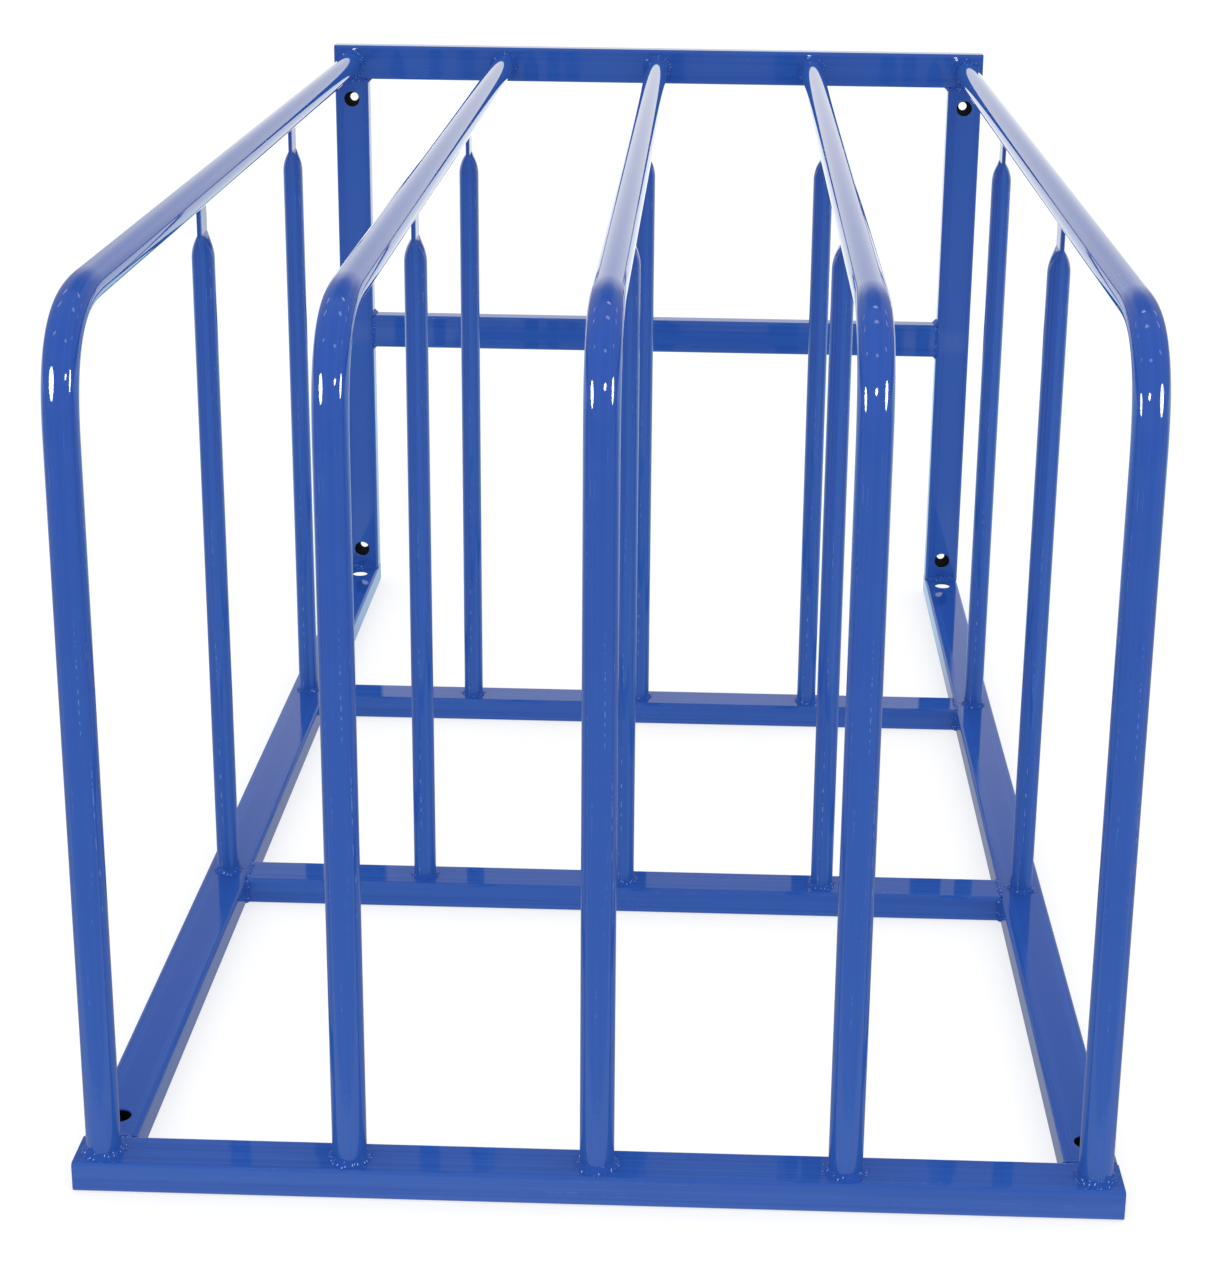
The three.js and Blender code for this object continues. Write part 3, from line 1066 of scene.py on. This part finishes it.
# The same of the lamps near the front that make the glints on the bends
GLINT_LAMPS = (
    ("glint_left", (-0.95, -1.50, 1.00), (-0.2, -0.87, 0.78), (0.40, 0.38)),
    ("glint_right", (1.27, -1.50, 1.07), (0.2, -0.87, 0.78), (0.40, 0.46)),
    ("glint_middle", (0.24, -1.70, 1.16), (0.0, -0.87, 0.78), (0.22, 0.11)),
)
GLINT_RADIANCE = 30

# Lamps on the ceiling, for the rows of dots on the bends: (x, setback) of each column, and y of each row
CEILING_HEIGHT = 3.0
CEILING_LAMP_COLUMNS = ((-1.95, 0.6), (0.35, 0.0), (2.15, 0.8))
CEILING_LAMP_ROWS = (0.75, -0.30, -2.1)
CEILING_LAMP_SIZE = (0.55, 0.20)
CEILING_LAMP_RADIANCE = 3.0


def build_lights(dividers):
    """A large soft front light, and small lights that show only as glints and dots on the dividers."""
    front = add_light(*FRONT_LAMP, FRONT_RADIANCE, "RECTANGLE")
    front.visible_glossy = False
    glints = [
        add_light(name, place, target, size, GLINT_RADIANCE)
        for name, place, target, size in GLINT_LAMPS
    ]
    for i, (x, setback) in enumerate(CEILING_LAMP_COLUMNS):
        for j, row_y in enumerate(CEILING_LAMP_ROWS):
            place = Vector((x, row_y + setback, CEILING_HEIGHT))
            name = f"ceiling_lamp_{i + 1}_{j + 1}"
            glints.append(add_light(name, place, place - Z, CEILING_LAMP_SIZE, CEILING_LAMP_RADIANCE))
    lit = bpy.data.collections.new("lit_by_glints")
    for piece in dividers:
        lit.objects.link(piece)
    for lamp in glints:
        lamp.visible_diffuse = False
        lamp.light_linking.receiver_collection = lit


CAMERA_PLACE = (0.0934, -2.8539, 1.2849)
CAMERA_YAW, CAMERA_PITCH, CAMERA_ROLL = 0.0294, -0.2969, 0.0117
CAMERA_LENS, CAMERA_SHIFT = 70.2, (-0.0277, -0.1028)


def build_camera():
    data = bpy.data.cameras.new("camera")
    data.sensor_width = 36
    data.lens = CAMERA_LENS
    data.shift_x, data.shift_y = CAMERA_SHIFT
    data.clip_start, data.clip_end = 0.05, 200
    camera = bpy.data.objects.new("camera", data)
    turn = (
        Matrix.Rotation(CAMERA_YAW, 4, "Z")
        @ Matrix.Rotation(math.pi / 2 + CAMERA_PITCH, 4, "X")
        @ Matrix.Rotation(CAMERA_ROLL, 4, "Z")
    )
    camera.matrix_world = Matrix.Translation(CAMERA_PLACE) @ turn
    bpy.context.scene.collection.objects.link(camera)
    bpy.context.scene.camera = camera


build_camera()
build_rectangular_tubes()
divider_tubes = build_round_tubes()
build_welds()
build_floor()
build_world()
build_lights(divider_tubes)
bpy.context.scene.view_settings.view_transform = "Standard"
